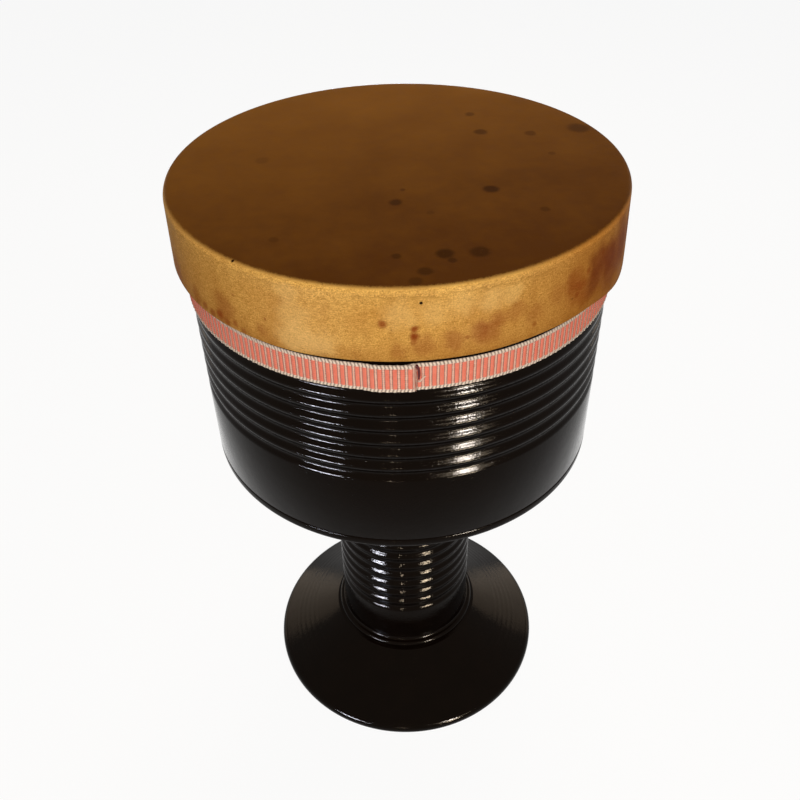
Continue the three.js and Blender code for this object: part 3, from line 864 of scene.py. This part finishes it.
def woven_ribbon():
    """One repeat of the weave is modelled flat, repeated along the ribbon and laid on its path."""
    height = RIBBON_TOP - RIBBON_BOTTOM
    length = 2 * math.pi * (LAND_RADIUS + GLUE_GAP / 2) + RIBBON_LAP
    repeat = length / RIBBON_REPEATS
    bpy.ops.object.select_all(action="DESELECT")
    bpy.ops.mesh.primitive_plane_add(
        size=1,
        location=(repeat * MM / 2, 0, 0),
        rotation=(math.pi / 2, 0, 0),
    )
    piece = bpy.context.object
    piece.name = "woven_ribbon"
    piece.scale = (repeat * MM, height * MM, 1)
    bpy.ops.object.transform_apply(location=True, rotation=True, scale=True)
    bpy.ops.object.mode_set(mode="EDIT")
    bpy.ops.mesh.subdivide(number_cuts=RIB_COLUMNS - 1)
    bpy.ops.object.mode_set(mode="OBJECT")

    # Coral ribs stand out where the weft is packed, and thin beige ones lie lower between them
    rib_heights = {0: 0.4, 1: 0.04, 2: 0.42, 3: 0.56, 4: 0.6}
    edge_row = height / 2 - height / RIB_COLUMNS
    for vertex in piece.data.vertices:
        column = round(RIB_COLUMNS * vertex.co.x / (repeat * MM))
        vertex.co.y -= rib_heights[min(column, RIB_COLUMNS - column)] * MM
        if math.isclose(abs(vertex.co.z), edge_row * MM, rel_tol=0.01):
            vertex.co.z = math.copysign((height / 2 - SELVEDGE_WIDTH) * MM, vertex.co.z)

    path = ribbon_path()
    bpy.context.view_layer.objects.active = piece
    array = piece.modifiers.new("repeat", "ARRAY")
    array.count = RIBBON_REPEATS
    array.use_relative_offset = False
    array.use_constant_offset = True
    array.constant_offset_displace = (repeat * MM, 0, 0)
    array.use_merge_vertices = True
    array.merge_threshold = WELD * MM
    cloth = piece.modifiers.new("cloth", "SOLIDIFY")
    cloth.thickness = RIBBON_CLOTH * MM
    cloth.offset = -1
    lay = piece.modifiers.new("lay", "CURVE")
    lay.object = path
    for modifier in ("repeat", "cloth", "lay"):
        bpy.ops.object.modifier_apply(modifier=modifier)
    bpy.data.objects.remove(path)
    bpy.ops.object.shade_smooth_by_angle(angle=math.radians(2 * SMOOTH_ANGLE))
    place_piece(piece, "trim_ribbon", "striped_ribbon", RIBBON)
    return piece, length


def loose_thread(name, route, radius, material):
    """A loose thread on the ribbon, by the azimuths and heights that it passes."""
    surface = RIBBON_RADIUS + THREAD_LIFT
    data = bpy.data.curves.new(name, "CURVE")
    data.dimensions = "3D"
    data.bevel_depth = radius * MM
    data.bevel_resolution = 2
    data.use_fill_caps = True
    spline = data.splines.new("BEZIER")
    spline.bezier_points.add(len(route) - 1)
    for point, (azimuth, height) in zip(spline.bezier_points, route):
        spot = outward(azimuth) * surface
        point.co = (spot.x * MM, spot.y * MM, height * MM)
        point.handle_left_type = "AUTO"
        point.handle_right_type = "AUTO"
    spline.bezier_points[0].radius = THREAD_ROOT_SHARE
    spline.bezier_points[-1].radius = THREAD_TIP_SHARE
    piece = bpy.data.objects.new(name, data)
    bpy.context.collection.objects.link(piece)
    bpy.ops.object.select_all(action="DESELECT")
    piece.select_set(True)
    bpy.context.view_layer.objects.active = piece
    bpy.ops.object.convert(target="MESH")
    piece = bpy.context.object
    piece.data.materials.append(material)
    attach(piece, "root")
    return piece


def cut_end_threads():
    """Short ends of warp thread that stick out of the ribbon's cut end."""
    draw = random.Random(4)
    out = outward(RIBBON_SEAM_AZIMUTH)
    along = outward(RIBBON_SEAM_AZIMUTH + 90)
    surface = RIBBON_RADIUS + RIBBON_LAP_RISE - RIBBON_CLOTH / 2
    bottom = RIBBON_BOTTOM - CUT_END_SAG
    span = RIBBON_TOP - RIBBON_BOTTOM - CUT_END_MARGIN
    bpy.ops.object.select_all(action="DESELECT")
    threads = []
    for end in range(CUT_ENDS):
        height = bottom + span * (end + 0.5) / CUT_ENDS
        reach = CUT_END_LENGTH * draw.uniform(0.4, 1)
        bpy.ops.mesh.primitive_cylinder_add(
            vertices=CUT_END_SIDES,
            radius=CUT_END_RADIUS * MM,
            depth=reach * MM,
        )
        thread = bpy.context.object
        slant = Vector((0, 0, draw.uniform(-CUT_END_SLANT, CUT_END_SLANT)))
        lean = slant + out * draw.uniform(-CUT_END_SLANT, 0.1)
        direction = (along + lean).normalized()
        start = out * surface + Vector((0, 0, height))
        middle = start + direction * (reach / 2 - CUT_END_ROOT)
        turn = direction.to_track_quat("Z", "Y").to_matrix().to_4x4()
        thread.matrix_world = Matrix.Translation(middle * MM) @ turn
        threads.append(thread)
    for thread in threads:
        thread.select_set(True)
    bpy.context.view_layer.objects.active = threads[0]
    bpy.ops.object.join()
    piece = bpy.context.object
    piece.name = "cut_end_threads"
    bpy.ops.object.transform_apply(location=True, rotation=True, scale=True)
    piece.data.materials.append(RIBBON)
    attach(piece, "root")
    return piece


# Studio

def floor():
    """A pale floor, near white to the eye and in reflections, which keeps the drum's soft shadow."""
    bpy.ops.object.select_all(action="DESELECT")
    bpy.ops.mesh.primitive_plane_add(size=FLOOR_SIZE * MM, location=(0, 0, FLOOR_LEVEL * MM))
    ground = bpy.context.object
    ground.name = "studio_floor"
    material, tree, shader = new_material("pale studio floor")
    seen = seen_directly(tree)
    paint = node(tree, "Mix", {0: seen, 6: colour("#74706B"), 7: colour("#F0EEEA")}, data_type="RGBA")
    tree.links.new(paint.outputs[2], shader.inputs["Base Color"])
    shader.inputs["Roughness"].default_value = 1
    shader.inputs["Specular IOR Level"].default_value = 0
    white = node(tree, "Emission", {"Color": colour("#FFFFFF"), "Strength": 1})
    share = node(tree, "Math", {0: seen, 1: FLOOR_WHITE}, operation="MULTIPLY")
    mixed = node(tree, "MixShader", {0: share.outputs[0], 1: shader.outputs[0], 2: white.outputs[0]})
    tree.links.new(mixed.outputs[0], tree.nodes["Material Output"].inputs["Surface"])
    ground.data.materials.append(material)


def seen_directly(tree):
    """1 for a ray from the camera or from a mirror or glass, and 0 for a ray that only lights."""
    path = node(tree, "LightPath")
    mirrored = node(tree, "Math", {0: path.outputs["Is Camera Ray"], 1: path.outputs["Is Glossy Ray"]},
                    operation="MAXIMUM")
    return node(tree, "Math", {0: mirrored.outputs[0], 1: path.outputs["Is Transmission Ray"]},
                operation="MAXIMUM").outputs[0]


def world():
    """White to the eye and in reflections, and a weak even fill for the rest."""
    surroundings = bpy.data.worlds.new("studio")
    surroundings.use_nodes = True
    tree = surroundings.node_tree
    strength = node(tree, "MapRange", {"Value": seen_directly(tree), "To Min": FILL_LIGHT, "To Max": 1})
    background = tree.nodes["Background"]
    background.inputs["Color"].default_value = colour("#FFFFFF")
    tree.links.new(strength.outputs[0], background.inputs["Strength"])
    bpy.context.scene.world = surroundings


def lamp(name, azimuth, distance, height, size, watts, hex_code, aim=300, shape="RECTANGLE"):
    """A soft light that faces the drum's axis."""
    data = bpy.data.lights.new(name, "AREA")
    data.shape = shape
    data.size = size[0] * MM
    data.size_y = size[1] * MM
    data.energy = watts
    data.color = colour(hex_code)[:3]
    made = bpy.data.objects.new(name, data)
    bpy.context.collection.objects.link(made)
    place = outward(azimuth) * distance + Vector((0, 0, height))
    facing = Vector((0, 0, aim)) - place
    turn = facing.to_track_quat("-Z", "Y").to_matrix().to_4x4()
    made.matrix_world = Matrix.Translation(place * MM) @ turn
    made.visible_camera = False
    return made


def lights():
    """A broad key light from the front, a weaker one behind, and lights that only shine in the lacquer: a low
    window at the left, a lamp with its glow at the right, a small lamp in front, a window behind, and a dim
    panel on both sides."""
    for name, azimuth, distance, height, watts in [
        ("key_light", 2, 1500, 1250, 28),
        ("back_light", 165, 900, 1500, 12),
    ]:
        soft = lamp(name, azimuth, distance, height, (800, 800), watts, "#FFF3E2")
        soft.visible_glossy = False
    cool, white, warm = "#D6E2FF", "#F6F8FF", "#FFF4E0"
    for name, azimuth, distance, height, aim, size, watts, tint in [
        ("window_left", -38, 900, 60, 60, (300, 80), 35, cool),
        ("lamp_right", 30, 1300, 400, 400, (170, 260), 56, white),
        ("lamp_right_glow", 30, 1310, 400, 400, (600, 220), 8, warm),
        ("lamp_right_low", 30, 900, 60, 60, (200, 80), 12, warm),
        ("lamp_front_small", -5, 900, 60, 60, (24, 24), 1, warm),
        ("window_behind", 180, 1300, 230, 230, (340, 430), 15, cool),
    ]:
        strip = lamp(name, azimuth, distance, height, size, watts, tint, aim, "ELLIPSE")
        strip.visible_diffuse = False
    for name, azimuth in [("panel_left", -130), ("panel_right", 130)]:
        panel = lamp(name, azimuth, distance=1500, height=330, size=(950, 640), watts=4.8,
                     hex_code="#FFE6C8", aim=330)
        panel.visible_diffuse = False


def camera():
    data = bpy.data.cameras.new("camera")
    data.sensor_width = CAMERA_SENSOR
    data.lens = CAMERA_LENS
    made = bpy.data.objects.new("camera", data)
    bpy.context.collection.objects.link(made)
    turn = Matrix.Rotation(math.radians(CAMERA_YAW), 4, "Z")
    tilt = Matrix.Rotation(math.radians(90 - CAMERA_PITCH), 4, "X")
    roll = Matrix.Rotation(math.radians(CAMERA_ROLL), 4, "Z")
    made.matrix_world = Matrix.Translation(Vector(CAMERA_PLACE) * MM) @ turn @ tilt @ roll
    bpy.context.scene.camera = made


LACQUER = black_lacquer()
WOOD = bare_wood()
HIDE = goat_hide()
RIBBON = striped_grosgrain()
THREAD = cotton_thread("dark red cotton thread", "#3A0C10", "#7A2A28")
BEIGE_THREAD = cotton_thread("beige cotton thread", "#C09A8C", "#F2DCD0")

foot()
neck_moulding()
neck()
shoulder()
bowl()
hoop()
skin()
trim, trim_length = woven_ribbon()
# A dark red thread hangs down the seam, and a beige one hooks up beside it
tail_route = [(3.35, 406.3), (3.75, 405.1), (3.95, 402.5), (3.97, 399.8), (3.9, 397.4)]
hook_route = [(3.75, 396.4), (4.1, 395.9), (4.5, 397), (4.95, 398.5), (5.45, 399.2)]
tail = loose_thread("thread_tail", tail_route, TAIL_RADIUS, THREAD)
hook = loose_thread("thread_hook", hook_route, HOOK_RADIUS, BEIGE_THREAD)
fringe = cut_end_threads()

floor()
world()
lights()
camera()
bpy.context.scene.view_settings.view_transform = "Standard"
